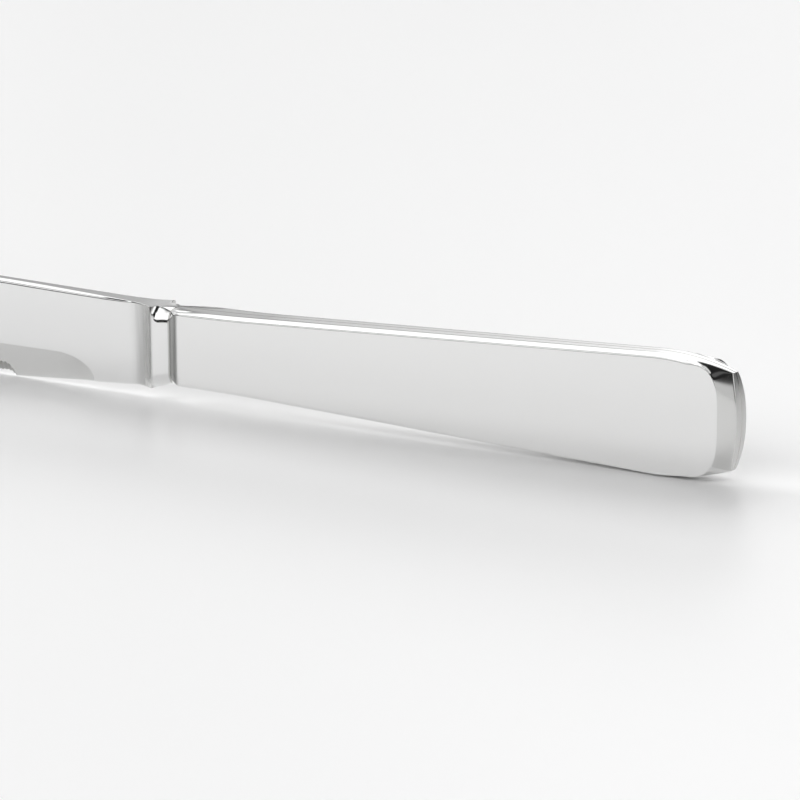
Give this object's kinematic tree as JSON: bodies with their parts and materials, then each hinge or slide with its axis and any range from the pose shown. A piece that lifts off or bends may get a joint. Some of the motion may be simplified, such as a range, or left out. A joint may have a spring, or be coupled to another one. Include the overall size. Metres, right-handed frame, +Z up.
{
  "type": "dessert knife",
  "caption": "Polished steel dessert knife with a hollow tapered handle, a waisted bolster and a one-sided fine serrated edge, standing on its edge.",
  "frame": {"origin": "centre of the bounding box at the height of the table that the knife stands on", "axes": "+X along the knife from the tip to the butt, +Z up from the cutting edge to the spine, -Y out of the side that carries the serration"},
  "size_m": [0.212, 0.0078, 0.0187],
  "materials": {
    "polished_steel": "mirror polished stainless steel with faint polishing lines",
    "blade_steel": "polished stainless steel, finely ground bevel along the edge",
    "silver_solder": "silver solder polished flush with the steel",
    "handle_cement": "matt filled cement, hidden inside the handle"
  },
  "bodies": {
    "root": {"blade": "blade_steel", "handle_shell_left": "polished_steel", "handle_shell_right": "polished_steel", "seam_solder": "silver_solder", "mouth_solder": "silver_solder", "tang_cement": "handle_cement"}
  },
  "joints": []
}
